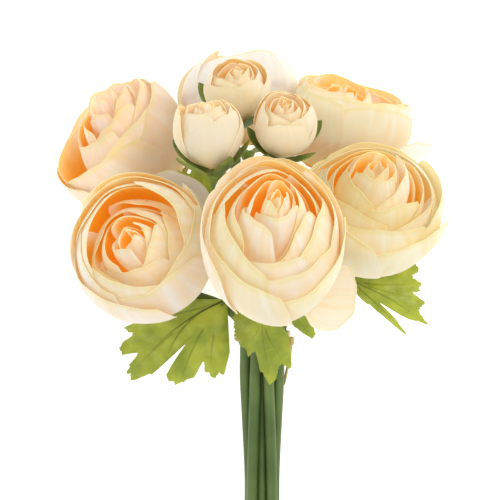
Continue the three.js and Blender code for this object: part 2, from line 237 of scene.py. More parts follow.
def petalFinish(name, look):
    # dyed silk: strong at the foot of the inner face, pale outside, with a fine yellow edge of painted light.
    # Light that comes through the thin petals is painted as a faint glow, an emission that also lifts the
    # shade on the inner faces and in the heart, where the mesh's own values say so.
    material, tree, shader = newFinish(name, dict(look["surface"], **{"Emission Strength": look["glow"]}))
    along = readAttribute(tree, "along")
    tint = readAttribute(tree, "tint")
    warm = readAttribute(tree, "warm")
    streakPlace = patternPlace(tree, (readAttribute(tree, "across"), look["streaksAcross"]),
                               (along, look["streaksAlong"]), (tint, look["streaksByTint"]))
    streaks = noiseNode(tree, streakPlace, look["streakScale"], look["streakDetail"])
    centred = mathNode(tree, "SUBTRACT", streaks, look["streakMiddle"])
    sway = mathNode(tree, "MULTIPLY", centred, look["streak"])
    dyed = colourRamp(tree, mathNode(tree, "ADD", warm, sway), look["dye"])
    wash = colourRamp(tree, tint, look["wash"])
    washed = mixColours(tree, look["washStrength"], dyed, wash, "MULTIPLY")
    # painted light: the fine yellow line along each petal's rim stands for light leaking through the thin
    # edge
    rimPlace = mathNode(tree, "ADD", along, mathNode(tree, "MULTIPLY", sway, look["rimWander"]))
    rim = colourRamp(tree, rimPlace, [(look["rimFrom"], "000000"), (look["rimFull"], look["rimShare"])])
    coloured = mixColours(tree, rim, washed, hexColour(look["rim"]))
    tree.links.new(coloured, shader.inputs["Base Color"])
    # painted light: the emission colour, a glow from petals that are no lamp
    paintedGlowTint = mixColours(tree, 1.0, coloured, colourRamp(tree, warm, look["glowAt"]), "MULTIPLY")
    shining = mixColours(tree, 1.0, paintedGlowTint, readAttribute(tree, "glow"), "MULTIPLY")
    tree.links.new(shining, shader.inputs["Emission Color"])
    grain = mathNode(tree, "MULTIPLY", grainOf(tree, look), look["grainShare"])
    addBump(tree, shader, mathNode(tree, "ADD", grain, streaks), look)
    return material


# glow is the strength of the petals' painted glow, an emission, and glowAt its colour by the dye
bloomSilk = petalFinish("bloomSilk", dict(
    silkHabit, glow=0.27, streak=0.45, rim="E8D890", rimShare="B4B4B4",
    dye=[(0.0, "FAF4EA"), (0.1, "F8EAD6"), (0.2, "F9E4C4"), (0.34, "F9DCA8"), (0.5, "FACE78"),
         (0.75, "F9BC48"), (1.0, "F8AE2C")],
    wash=[(0.0, "F8DED0"), (0.5, "FFFCF9"), (1.0, "FBF4C8")],
    glowAt=[(0.0, "FFFAF4"), (0.3, "FFF6E8"), (0.8, "FFEAC0")]))
budSilk = petalFinish("budSilk", dict(
    silkHabit, glow=0.22, streak=0.4, rim="E9DDAE", rimShare="909090",
    dye=[(0.0, "F7EAD4"), (0.3, "F6DFBC"), (0.6, "F6D28C"), (1.0, "F2BA58")],
    wash=[(0.0, "FFF0E4"), (0.5, "FFFDF8"), (1.0, "FDF6DE")],
    glowAt=[(0.0, "FFFAF4"), (0.4, "FFF6E8"), (1.0, "FFEED0")]))

stemLook = dict(
    surface={"Roughness": 0.48, "Specular IOR Level": 0.4}, light="6F8648", dark="536B35", patches=38.0,
    ridgesAround=2.2, ridgesAlong=0.8, ridgeScale=6.0, ridgeDetail=2.0, bump=0.35, bumpDepth=0.0006)


def stemFinish(look):
    material, tree, shader = newFinish("stemPlastic", look["surface"])
    tree.links.new(driftOf(tree, look), shader.inputs["Base Color"])
    ridgePlace = patternPlace(tree, (readAttribute(tree, "around"), look["ridgesAround"]),
                              (readAttribute(tree, "along"), look["ridgesAlong"]))
    addBump(tree, shader, noiseNode(tree, ridgePlace, look["ridgeScale"], look["ridgeDetail"]), look)
    return material


sepalLook = dict(
    surface={"Roughness": 0.5, "Specular IOR Level": 0.4}, light="96AA4C", dark="5A742E", patches=90.0,
    rib="38521F", ribStrength=0.7, threads=900.0, slub=0.8, bump=0.35, bumpDepth=0.0003)


def sepalFinish(look):
    material, tree, shader = newFinish("sepalCloth", look["surface"])
    rib = mathNode(tree, "MULTIPLY", readAttribute(tree, "rib"), look["ribStrength"])
    ribbed = mixColours(tree, rib, driftOf(tree, look), hexColour(look["rib"]))
    tree.links.new(ribbed, shader.inputs["Base Color"])
    addBump(tree, shader, grainOf(tree, look), look)
    return material


leafLook = dict(
    surface={"Roughness": 0.34, "Specular IOR Level": 0.4, "Subsurface Weight": 0.08,
             "Subsurface Scale": 0.001, "Subsurface Radius": (0.6, 1.0, 0.2), "Coat Weight": 0.3,
             "Coat Roughness": 0.25},
    light="BECA36", dark="90A21E", patches=95.0, fleck="CCD45C", fleckScale=900.0, fleckDetail=2.0,
    fleckStrength=0.3, vein="4A5A14", threads=700.0, slub=1.2, bump=0.5, bumpDepth=0.0004)


def leafFinish(look):
    material, tree, shader = newFinish("leafCloth", look["surface"])
    flecks = noiseNode(tree, objectPlace(tree), look["fleckScale"], look["fleckDetail"])
    fleck = mathNode(tree, "MULTIPLY", flecks, look["fleckStrength"])
    flecked = mixColours(tree, fleck, driftOf(tree, look), hexColour(look["fleck"]))
    veined = mixColours(tree, readAttribute(tree, "vein"), flecked, hexColour(look["vein"]))
    tree.links.new(veined, shader.inputs["Base Color"])
    addBump(tree, shader, grainOf(tree, look), look)
    return material


raffiaLook = dict(
    surface={"Roughness": 0.55, "Sheen Weight": 0.2}, fibresAcross=6.0, fibresAlong=1.5, fibreScale=1.0,
    fibreDetail=5.0, tones=[(0.3, "CC9C4A"), (0.5, "EEC97C"), (0.7, "FBEDC4")], bump=0.6, bumpDepth=0.0008)


def raffiaFinish(look):
    material, tree, shader = newFinish("raffiaFibre", look["surface"])
    fibrePlace = patternPlace(tree, (readAttribute(tree, "across"), look["fibresAcross"]),
                              (readAttribute(tree, "along"), look["fibresAlong"]))
    fibres = noiseNode(tree, fibrePlace, look["fibreScale"], look["fibreDetail"])
    tree.links.new(colourRamp(tree, fibres, look["tones"]), shader.inputs["Base Color"])
    addBump(tree, shader, fibres, look)
    return material


stemPlastic = stemFinish(stemLook)
sepalCloth = sepalFinish(sepalLook)
leafCloth = leafFinish(leafLook)
raffiaFibre = raffiaFinish(raffiaLook)
print("finishes made")


# ---- heads

def ring(count, reachFrom, reachTo, gapeFrom, gapeTo, rimFrom, rimTo, **more):
    # Petals of one kind, from the outermost to the innermost. reach is how wide they stand, as a share of the
    # girth, gape how many degrees further than the head's own they wrap over, and rim how high their edges
    # are, against the head's outermost rim. half is half their width in degrees, and lean moves their tips
    # aside, in shares of the girth.
    return dict(dict(
        count=count, reach=(reachFrom, reachTo), gape=(gapeFrom, gapeTo), rim=(rimFrom, rimTo), half=(78, 88),
        slant=0.08, twist=8, warm=0.0, shoulder=0.4, lean=(0, 0, 0), skew=0.05), **more)


# centre is the middle of the globe, faces its axis, girth its widest radius, and slot the stem's place in
# the tie. gape is how many degrees the outermost petals wrap over, from the seat; tall, widen and lengthen
# stretch the globe. The dye is strongest on the side that warmTowards points to, and on the other it is paler
# by sidesPaler. heartRoot is how high the innermost petals start, and fullness how far over its globe a head
# reaches where others press on it. sag is how far the stem goes straight on, from its head and into the tie.
# guards are petals that stand loose outside the others, and sepal is the shape of the five under the head.
headHabit = dict(
    widen=1.0, lengthen=1.0, heartRoot=0.5, guards=[], sag=(0.42, 0.38), warmTowards=(0, 0.8, -0.6))
bloomHabit = dict(
    headHabit, tints=(0.35, 0.8), tall=1.0, taper=0.0, fullness=1.0, calyxFloor=-2.6, sidesPaler=0.5,
    sepal=dict(length=13, halfWidth=3.4, spread=1.4, cup=0.78), silk=bloomSilk, slotName="petal_silk")
budHabit = dict(
    headHabit, tints=(0.3, 1.0), gape=122, tall=1.05, taper=0.35, fullness=1.14, calyxFloor=-1.6,
    sidesPaler=0.3, sepal=dict(length=24, halfWidth=5.6, spread=1.18, cup=1.14), silk=budSilk,
    slotName="bud_silk",
    layers=[ring(5, 1.0, 0.88, 0, 8, 1.0, 1.05, slant=0.14, skew=0.02),
            ring(10, 0.82, 0.11, 4, 20, 1.04, 1.14, warm=-0.3, shoulder=0.25)])
heads = {
    "bloom_front": dict(
        bloomHabit, centre=(10.9, 6, 122), faces=(0.05, 0.6, 0.8), girth=32, gape=93, turn=20, slot=2,
        sag=(0.25, 0.5), tall=1.1, lengthen=1.31, tints=(0.4, 0.9), warmTowards=(0.6, 0.8, -0.6),
        sidesPaler=0.7,
        layers=[ring(12, 1.0, 0.84, 0, 43, 1.0, 1.3, shoulder=0.38, lean=(-0.02, 0.07, 0)),
                ring(8, 0.76, 0.42, 28, 44, 1.22, 1.5, shoulder=0.4, slant=0.16, lean=(-0.03, 0.06, 0)),
                ring(6, 0.34, 0.1, 40, 54, 1.5, 1.56, warm=-0.2, shoulder=0.2, half=(90, 100),
                     lean=(0.01, 0.1, 0.02))],
        guards=[dict(towards=(0.98, -0.33, 0), reach=1.38, rise=0.6, wrap=66, half=32),
                dict(towards=(-0.6, 0.8, 0), reach=1.15, rise=0.8, wrap=70, half=22)]),
    "bloom_left": dict(
        bloomHabit, centre=(-48, 1.2, 88), faces=(-0.22, 0.4, 0.89), girth=33, gape=104, turn=75, slot=0,
        lengthen=1.04, warmTowards=(-0.3, 0.8, -0.6), sidesPaler=0.9,
        layers=[ring(12, 1.0, 0.86, 0, 32, 1.0, 1.21, shoulder=0.35),
                ring(9, 0.8, 0.46, 16, 34, 0.95, 1.18, shoulder=0.38, slant=0.14, lean=(-0.05, -0.08, 0)),
                ring(6, 0.4, 0.12, 26, 40, 1.2, 1.26, warm=-0.4, shoulder=0.3, slant=0.18,
                     lean=(-0.03, -0.06, 0))],
        guards=[dict(towards=(0.35, 0.94, 0), reach=1.2, rise=0.95, wrap=88, half=34)]),
    "bloom_right": dict(
        bloomHabit, centre=(54.5, 22, 77), faces=(0.12, 0.6, 0.78), girth=34, gape=104, turn=140, slot=3,
        tints=(0.65, 1.0), warmTowards=(-0.2, 0.8, -0.6), sidesPaler=1.1,
        layers=[ring(9, 1.0, 0.9, 0, 30, 1.0, 1.09, warm=-0.25, lean=(0.02, -0.05, 0)),
                ring(8, 0.8, 0.52, 14, 20, 1.02, 1.26, lean=(0.02, -0.03, 0)),
                ring(7, 0.46, 0.1, 24, 42, 1.3, 1.42, warm=-0.3, shoulder=0.22, half=(86, 100))]),
    "bloom_upper_left": dict(
        bloomHabit, centre=(-60.5, 50, 32.4), faces=(-0.66, 0.62, 0.42), girth=32.5, gape=104, turn=200,
        tints=(0.0, 0.35), slot=4, sag=(0.42, 0.28), warmTowards=(-0.75, -0.6, -0.3), sidesPaler=2.4,
        layers=[ring(7, 1.0, 0.93, 0, 8, 1.0, 1.08, warm=0.1),
                ring(8, 0.8, 0.46, 12, 22, 1.0, 1.2, warm=0.15, shoulder=0.3, lean=(0.1, 0.22, 0)),
                ring(6, 0.42, 0.1, 22, 36, 1.24, 1.32, warm=-0.5, shoulder=0.3, lean=(0.12, 0.22, 0))]),
    "bloom_upper_right": dict(
        bloomHabit, centre=(41, 61, 40.6), faces=(0.24, 0.93, 0.24), girth=32, gape=112, turn=265, slot=8,
        tall=0.84, widen=1.08,
        layers=[ring(11, 1.0, 0.86, 0, 12, 1.0, 1.1, shoulder=0.3),
                ring(10, 0.8, 0.12, 8, 30, 0.98, 1.1, shoulder=0.2)],
        guards=[dict(towards=(0.86, -0.3, 0.42), reach=1.4, rise=0.95, wrap=84, half=36)]),
    "bloom_top": dict(
        bloomHabit, centre=(-1.5, 71, 31), faces=(-0.03, 0.99, -0.05), girth=29, gape=148, turn=320, slot=7,
        sag=(0.42, 0.5), tall=0.78, widen=1.13,
        layers=[ring(9, 1.0, 0.88, 0, 6, 1.0, 0.99, warm=-0.8),
                ring(6, 0.7, 0.2, -12, -16, 0.92, 0.88, warm=-0.6)]),
    "bud_left": dict(
        budHabit, centre=(-17.5, 52.7, 97), faces=(-0.08, 0.92, 0.36), girth=17.3, turn=10, slot=1),
    "bud_right": dict(
        budHabit, centre=(14.7, 55.7, 91), faces=(0.1, 0.72, 0.66), girth=16.2, turn=100, slot=6),
    "bud_top": dict(
        budHabit, centre=(-5.6, 71.5, 73), faces=(0.05, 0.75, 0.6), girth=15.6, turn=220, slot=5),
}
press = dict(gap=0.6, firmShare=0.25)
for head in heads.values():
    head["axis"] = Vector(head["faces"]).normalized()
    head["turnFrame"] = upright.rotation_difference(head["axis"])
    head["middle"] = Vector(head["centre"])
    globe = Vector((head["widen"], head["lengthen"], head["tall"]))
    head["globe"] = globe * head["girth"] * head["fullness"]
    head["seat"] = head["middle"] - head["axis"] * head["tall"] * head["girth"]
    warmest = head["turnFrame"].inverted() @ Vector(head["warmTowards"])
    head["warmSwing"] = math.atan2(warmest.y, warmest.x)


def reachTowards(head, direction):
    local = head["turnFrame"].inverted() @ direction
    return Vector(a * b for a, b in zip(local, head["globe"])).length


# heads that would overlap are pressed flatter towards each other
for head in heads.values():
    head["presses"] = []
    for other in heads.values():
        if other is head:
            continue
        towards = other["middle"] - head["middle"]
        apart = towards.length - press["gap"]
        towards.normalize()
        reach = reachTowards(head, towards)
        share = apart / (reach + reachTowards(other, towards))
        if share < 1:
            head["presses"].append((towards, reach, share))


def pressed(head, point):
    place = point.copy()
    for towards, reach, share in head["presses"]:
        depth = (place - head["middle"]).dot(towards)
        firm = press["firmShare"] * reach
        slack = reach * (1 - share) / (reach - firm)
        if depth > firm:
            place -= towards * (depth - firm) * slack
    return place


def onHead(head, local):
    # from the head's own frame, where its axis is up and its seat at zero, to the shared one
    stretched = Vector((local.x * head["widen"], local.y * head["lengthen"], local.z))
    return inFrame(pressed(head, head["seat"] + head["turnFrame"] @ stretched))


def cupPoint(cup, swing, angle, proud):
    # on a cup round the head's axis: swing goes round it, angle up from its seat, proud out of its face
    normal = Vector((cup["rise"] * math.sin(angle), -cup["reach"] * math.cos(angle))).normalized()
    narrowed = 1 - cup["taper"] * max(0, math.cos(angle)) ** 2
    rho = cup["reach"] * math.sin(angle) * narrowed + normal.x * proud
    height = cup["rootHeight"] + cup["rise"] * (1 - math.cos(angle)) + normal.y * proud
    return Vector((rho * math.cos(swing), rho * math.sin(swing), height))


# ---- petals

petal = dict(
    thickness=0.26, cellsAcross=20, cellsAlong=18, goldenAngle=137.5, rootRadius=1.6, rootLimit=0.5,
    footWidth=0.25, fullWidthAt=0.62, roundFrom=0.4, wave=0.5, waves=4, ragged=0.035, raggedScale=2.6,
    dent=0.9, dentScale=0.07)
# how far a petal may stray from its place in the spiral, in degrees and in shares of girth and rim
stray = dict(gape=4, reach=0.005, rim=0.03, swing=9, narrower=10, wider=6, slant=0.04)
# the backs are dyed at the foot, and the dye of the inner faces fades at the tip and at both sides
dye = dict(foot=0.45, footEnds=(0.1, 0.7), back=0.1, backShare=0.15, heart=0.4, inside=1.05, tipFade=0.75,
           tip=(0.62, 0.98), sideFade=0.9, side=(0.7, 1.0))
# painted glow: emission for a petal's back and its inner face; petals deep in the heart glow more, which
# paints light into their shade
glow = dict(back=0.1, heart=0.16, inside=0.8)
# guards get only a little painted glow
guardHabit = dict(rootHeight=-1.3, taper=0.0, slant=0.0, skew=0.0, twist=0.0, shoulder=0.45, lean=Vector(),
                  foot=0.0, glow=(0.05, 0.1), warm=-1.8)
guardTints = (0.45, 0.55)


def strays(draw, what):
    return draw.uniform(-stray[what], stray[what])


def ringCups(head, group, first, draw):
    outerRim = head["tall"] * (1 - math.cos(math.radians(head["gape"])))
    lean = head["turnFrame"].inverted() @ Vector(group["lean"]) * head["girth"]
    cups = []
    for k in range(group["count"]):
        share = k / max(1, group["count"] - 1)
        loose = min(1, k)  # the outermost petal of a group keeps its size
        gape = math.radians(head["gape"] + mix(*group["gape"], share) + strays(draw, "gape") * loose)
        out = mix(*group["reach"], share) + strays(draw, "reach") * loose
        rootHeight = head["girth"] * head["heartRoot"] * (1 - out)
        rimHeight = head["girth"] * outerRim * (mix(*group["rim"], share) + strays(draw, "rim") * loose)
        turned = head["turn"] + (first + k) * petal["goldenAngle"] + strays(draw, "swing")
        halfWidth = mix(*group["half"], share) + draw.uniform(-stray["narrower"], stray["wider"])
        cups.append(dict(
            reach=head["girth"] * out, rootHeight=rootHeight, taper=head["taper"],
            rise=(rimHeight - rootHeight) / (1 - math.cos(gape)), gape=gape, swing=math.radians(turned),
            halfWidth=math.radians(halfWidth), slant=group["slant"] + strays(draw, "slant"),
            skew=group["skew"], twist=math.radians(group["twist"]), shoulder=group["shoulder"], lean=lean,
            foot=dye["foot"], glow=(glow["back"] + glow["heart"] * (1 - out), glow["inside"]),
            warm=group["warm"] + dye["heart"] * (1 - out), tint=draw.uniform(*head["tints"])))
    return cups


def guardCup(head, guard, draw):
    towards = head["turnFrame"].inverted() @ Vector(guard["towards"])
    return dict(
        guardHabit, reach=head["girth"] * guard["reach"], rise=head["girth"] * guard["rise"],
        gape=math.radians(guard["wrap"]), swing=math.atan2(towards.y, towards.x),
        halfWidth=math.radians(guard["half"]), tint=draw.uniform(*guardTints))


def addPetal(bm, layers, head, cup):
    made = bmesh.ops.create_grid(bm, x_segments=petal["cellsAcross"], y_segments=petal["cellsAlong"], size=1)
    rootAngle = math.asin(min(petal["rootLimit"], petal["rootRadius"] / cup["reach"]))
    for vert in made["verts"]:
        across, along = vert.co.x, (vert.co.y + 1) / 2
        upper = max(0, (along - petal["roundFrom"]) / (1 - petal["roundFrom"]))
        side = across * math.sqrt(1 - cup["shoulder"] * upper ** 2)
        drop = 1 - math.sqrt(1 - cup["shoulder"] * across ** 2)
        rise = along - upper * (1 - petal["roundFrom"]) * drop
        ragged = noise.noise(Vector((across * petal["raggedScale"], cup["swing"] * 3, 0.5)))
        rise *= 1 + (petal["ragged"] * ragged + cup["slant"] * across) * along
        angle = mix(rootAngle, cup["gape"], rise)
        width = mix(petal["footWidth"], 1.0, ramped(0.0, petal["fullWidthAt"], along))
        swing = cup["swing"] + side * cup["halfWidth"] * width + cup["twist"] * along
        wave = petal["wave"] * along ** 3 * math.sin(petal["waves"] * swing + head["turn"])
        wave += cup["skew"] * cup["reach"] * across * along
        dentPlace = cupPoint(cup, swing, angle, wave) * petal["dentScale"] + Vector((head["turn"], 0, 0))
        dents = noise.noise(dentPlace) * petal["dent"] * along
        vert.co = onHead(head, cupPoint(cup, swing, angle, wave + dents) + cup["lean"] * rise ** 2)
        vert[layers["across"]] = across
        vert[layers["along"]] = along
        vert[layers["tint"]] = cup["tint"]
        foot = cup["foot"] * (1 - ramped(*dye["footEnds"], along))
        vert[layers["warm"]] = foot + dye["backShare"] * cup["warm"] + dye["back"]
        # painted glow for the back and for the inner face
        vert[layers["glow"]], vert[layers["glowInside"]] = cup["glow"]
        faded = dye["tipFade"] * ramped(*dye["tip"], along)
        faded += dye["sideFade"] * ramped(*dye["side"], abs(across))
        faded += head["sidesPaler"] * (1 - math.cos(swing - head["warmSwing"])) / 2
        vert[layers["warmInside"]] = min(1, max(0, cup["warm"] + dye["inside"] - faded))


def addLayers(bm, names):
    return {name: bm.verts.layers.float.new(name) for name in names}


def finishPiece(name, bm, finish, node):
    mesh = bpy.data.meshes.new(name)
    bm.to_mesh(mesh)
    bm.free()
    mesh.materials.append(finish)
    piece = bpy.data.objects.new(name, mesh)
    bpy.context.scene.collection.objects.link(piece)
    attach(piece, "root")
    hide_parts(node)


crispFrom = math.radians(60)


def thicken(bm, layers, thickness):
    # a thin wall behind the faces, with crisp rims. A petal's new face is its inner one, with its own dye and
    # its own painted glow.
    for face in bm.faces:
        face.smooth = True
    for edge in bm.edges:
        if edge.is_boundary:
            edge.smooth = False
    made = bmesh.ops.solidify(bm, geom=bm.faces[:], thickness=thickness * mm)
    innerVerts = [item for item in made["geom"] if isinstance(item, bmesh.types.BMVert)]
    if "warmInside" in layers:
        for vert in innerVerts:
            vert[layers["warm"]] = vert[layers["warmInside"]]
            vert[layers["glow"]] = vert[layers["glowInside"]]
    for edge in bm.edges:
        if edge.calc_face_angle(0.0) > crispFrom:
            edge.smooth = False


def makeFlower(node, head):
    draw = random.Random(node)
    bm = bmesh.new()
    layers = addLayers(bm, ["across", "along", "tint", "warm", "warmInside", "glow", "glowInside"])
    first = 0
    for group in head["layers"]:
        for cup in ringCups(head, group, first, draw):
            addPetal(bm, layers, head, cup)
        first += group["count"]
    for guard in head["guards"]:
        addPetal(bm, layers, head, guardCup(head, guard, draw))
    thicken(bm, layers, petal["thickness"])
    finishPiece(node + "_petals", bm, head["silk"], node)


for node, head in heads.items():
    makeFlower(node, head)
print("petals made")


# ---- stems

stem = dict(radius=2.5, sides=20, steps=90, bendSteps=5, intoCalyx=3.5, ribs=5, ribDepth=0.05, ribTwist=1.2,
            ribsStart=(0, 6.28), neck=0.5, neckEnd=0.05)
bundle = dict(pitch=5.5, crossingAt=0.62, endSpread=1.2, passes=(0.16, 0.34, 0.52, 0.7, 0.85), cutStep=0.03)
tieCentre = Vector((5.5, -37.7, 45))
cutEnd = Vector((5.6, -166, 13.8))
bundleAxis = (cutEnd - tieCentre).normalized()
bundleSide = Vector((1, 0, 0))
bundleFront = bundleAxis.cross(bundleSide).normalized()
# the nine stems' places in the tie and below their crossing, in pitches to the side and to the front
tiedSlots = [(-1.5, 0.4), (-0.55, 1.0), (0.5, 0.95), (1.5, 0.35), (-1.2, -0.5), (0, 0.02), (1.05, -0.52),
             (-0.5, -1.42), (0.55, -1.4)]
crossedSlots = [(-1.0, 0), (-0.85, 1.02), (0.85, 1.0), (1.0, 0), (-0.62, -0.95), (0, 0.46), (0.6, -0.95),
                (-0.5, -1.95), (0.5, -1.95)]


def bundlePoint(slot, share):
    ease = ramped(0, bundle["crossingAt"], share)
    past = max(0, (share - bundle["crossingAt"]) / (1 - bundle["crossingAt"]))
    spread = (1 + (bundle["endSpread"] - 1) * past) * bundle["pitch"]
    across = mix(tiedSlots[slot][0], crossedSlots[slot][0], ease) * spread
    ahead = mix(tiedSlots[slot][1], crossedSlots[slot][1], ease) * spread
    return tieCentre.lerp(cutEnd, share) + bundleSide * across + bundleFront * ahead


def throughPoints(points, count):
    # a smooth line through the points, without overshoot where they crowd
    padded = [points[0] * 2 - points[1]] + points + [points[-1] * 2 - points[-2]]
    line = []
    for k in range(count + 1):
        place = k / count * (len(points) - 1)
        first = min(int(place), len(points) - 2)
        before, a, b, after = padded[first:first + 4]
        stepBefore, step, stepAfter = ((q - p).length ** 0.5 for p, q in ((before, a), (a, b), (b, after)))
        slopeA = ((a - before) / stepBefore - (b - before) / (stepBefore + step) + (b - a) / step) * step
        slopeB = ((b - a) / step - (after - a) / (step + stepAfter) + (after - b) / stepAfter) * step
        t = place - first
        line.append(a * (2 * t ** 3 - 3 * t ** 2 + 1) + slopeA * (t ** 3 - 2 * t ** 2 + t)
                    + b * (3 * t ** 2 - 2 * t ** 3) + slopeB * (t ** 3 - t ** 2))
    return line


def stemLine(head):
    # a bend from the calyx into the tie, then along the bundle to one of three lengths
    start = pressed(head, head["seat"] + head["axis"] * (head["calyxFloor"] - stem["intoCalyx"]))
    tied = bundlePoint(head["slot"], 0)
    span = (tied - start).length
    handles = (start, start - head["axis"] * head["sag"][0] * span,
               tied - bundleAxis * head["sag"][1] * span, tied)
    points = []
    for k in range(stem["bendSteps"] + 1):
        t = k / stem["bendSteps"]
        weights = ((1 - t) ** 3, 3 * t * (1 - t) ** 2, 3 * t * t * (1 - t), t ** 3)
        points.append(sum((handle * weight for handle, weight in zip(handles, weights)), Vector()))
    cutAt = 1 - bundle["cutStep"] * ((head["slot"] * 2) % 3)
    for share in (*bundle["passes"], cutAt):
        points.append(bundlePoint(head["slot"], share))
    return throughPoints(points, stem["steps"])


def addTube(bm, layers, line, radiusAt, sides):
    # a loop drawn along a line, turned as little as it can be, and closed at both ends
    frameSide = (line[1] - line[0]).orthogonal().normalized()
    loops = []
    for k, point in enumerate(line):
        ahead = (line[min(k + 1, len(line) - 1)] - line[max(k - 1, 0)]).normalized()
        frameSide = (frameSide - ahead * frameSide.dot(ahead)).normalized()
        frameUp = ahead.cross(frameSide)
        if k == 0:
            loop = bmesh.ops.create_circle(bm, segments=sides, radius=1.0)["verts"]
        else:
            ends = {edge for vert in loops[-1] for edge in vert.link_edges
                    if edge.other_vert(vert) in loops[-1]}
            made = bmesh.ops.extrude_edge_only(bm, edges=list(ends))["geom"]
            fresh = [item for item in made if isinstance(item, bmesh.types.BMVert)]
            loop = [next(edge.other_vert(vert) for edge in vert.link_edges if edge.other_vert(vert) in fresh)
                    for vert in loops[-1]]
        for j, vert in enumerate(loop):
            angle = 2 * math.pi * j / sides
            radius = radiusAt(k / (len(line) - 1), angle)
            vert.co = inFrame(point + (frameSide * math.cos(angle) + frameUp * math.sin(angle)) * radius)
            vert[layers["along"]] = k / (len(line) - 1)
            vert[layers["around"]] = abs(2 * j / sides - 1)
        loops.append(loop)
    for loop in (loops[0], loops[-1]):
        bmesh.ops.contextual_create(bm, geom=loop)


def makeStem(node, head):
    bm = bmesh.new()
    layers = addLayers(bm, ["along", "around"])
    draw = random.Random(node)
    ribsAt = draw.uniform(*stem["ribsStart"])

    def radiusAt(share, angle):
        ribs = stem["ribDepth"] * math.cos(stem["ribs"] * angle + ribsAt + share * stem["ribTwist"])
        neck = stem["neck"] * (1 - ramped(0.0, stem["neckEnd"], share))
        return stem["radius"] - neck + ribs

    addTube(bm, layers, head["line"], radiusAt, stem["sides"])
    bmesh.ops.recalc_face_normals(bm, faces=bm.faces[:])
    for face in bm.faces:
        face.smooth = len(face.verts) == 4
    finishPiece("stem_" + node + "_tube", bm, stemPlastic, "stem_" + node)


for node, head in heads.items():
    head["line"] = stemLine(head)
    makeStem(node, head)
print("stems made")


# ---- calyx

sepalMesh = dict(cellsAcross=8, cellsAlong=18, thickness=0.4, count=5, below=0.7, rootRadius=2.6,
                 lift=(0.4, 2.2), crease=0.5, ribEdge=(0.05, 0.3))
# the collar under the sepals turns this outline, radius and height over the calyx floor, round the axis
collar = dict(outline=[(0.0, -5.2), (2.3, -5.0), (3.2, -2.6), (4.1, -0.8), (4.2, 0.0), (0.0, 0.1)], steps=18,
              mergeWithin=0.0005)


def addSepal(bm, layers, head, turn, draw):
    shape = head["sepal"]
    cup = dict(reach=head["girth"] * shape["spread"], rise=head["girth"] * shape["cup"], taper=head["taper"],
               rootHeight=head["calyxFloor"] - sepalMesh["below"])
    rootAngle = sepalMesh["rootRadius"] / cup["reach"]
    tipAngle = rootAngle + shape["length"] / cup["reach"]
    lift = draw.uniform(*sepalMesh["lift"])
    made = bmesh.ops.create_grid(bm, x_segments=sepalMesh["cellsAcross"], y_segments=sepalMesh["cellsAlong"],
                                 size=1)
    for vert in made["verts"]:
        across, along = vert.co.x, (vert.co.y + 1) / 2
        angle = mix(rootAngle, tipAngle, along)
        # narrow at the root, widest above its middle, and drawn to a point
        tapered = 1.03 - 0.45 * along ** 2 - 0.55 * along ** 5
        halfArc = shape["halfWidth"] * (0.32 + 1.9 * along - 0.75 * along ** 2) * tapered
        swing = turn + across * halfArc / (cup["reach"] * math.sin(angle))
        crease = sepalMesh["crease"] * abs(across) * math.sin(math.pi * along)
        proud = sepalMesh["thickness"] + lift * along ** 3 - crease
        vert.co = onHead(head, cupPoint(cup, swing, angle, proud))
        vert[layers["rib"]] = (1 - ramped(*sepalMesh["ribEdge"], abs(across))) * (1 - along)


def makeCalyx(node, head):
    draw = random.Random("calyx " + node)
    bm = bmesh.new()
    layers = addLayers(bm, ["rib"])
    for k in range(sepalMesh["count"]):
        addSepal(bm, layers, head, math.radians(head["turn"] + 360 / sepalMesh["count"] * k), draw)
    thicken(bm, layers, sepalMesh["thickness"])
    chain = [bm.verts.new((radius, 0, head["calyxFloor"] + height)) for radius, height in collar["outline"]]
    edges = [bm.edges.new(pair) for pair in zip(chain, chain[1:])]
    made = bmesh.ops.spin(bm, geom=chain + edges, cent=(0, 0, 0), axis=(0, 0, 1), angle=2 * math.pi,
                          steps=collar["steps"], use_merge=True)
    turned = {vert for item in chain + edges + made["geom_last"] for vert in
              ([item] if isinstance(item, bmesh.types.BMVert) else item.verts)}
    grown = set(turned)
    while grown:
        grown = {edge.other_vert(vert) for vert in grown for edge in vert.link_edges} - turned
        turned |= grown
    bmesh.ops.remove_doubles(bm, verts=list(turned), dist=collar["mergeWithin"])
    turned = [vert for vert in turned if vert.is_valid]
    for vert in turned:
        vert.co = onHead(head, vert.co)
    collarFaces = {face for vert in turned for face in vert.link_faces}
    bmesh.ops.recalc_face_normals(bm, faces=list(collarFaces))
    for face in collarFaces:
        face.smooth = True
    finishPiece("stem_" + node + "_calyx", bm, sepalCloth, "stem_" + node)


for node, head in heads.items():
    makeCalyx(node, head)
print("calyces made")


# ---- leaves

leafMesh = dict(thickness=0.3, cellsAcross=150, cellsAlong=34, rootShare=0.06, rounding=0.6, teeth=0.055,
                toothScale=0.33, fineTeeth=0.6, ripplesBy=9, crinkle=0.7, crinkleScale=0.22, groove=0.35)
veins = dict(reach=58, arcDegrees=57.3, tipWidth=0.35, edge=(0.15, 0.75))
stalk = dict(intoStem=0.2, handle=0.25, intoBlade=4, steps=12, radii=(1.1, 0.45), sides=10, dark=0.6)
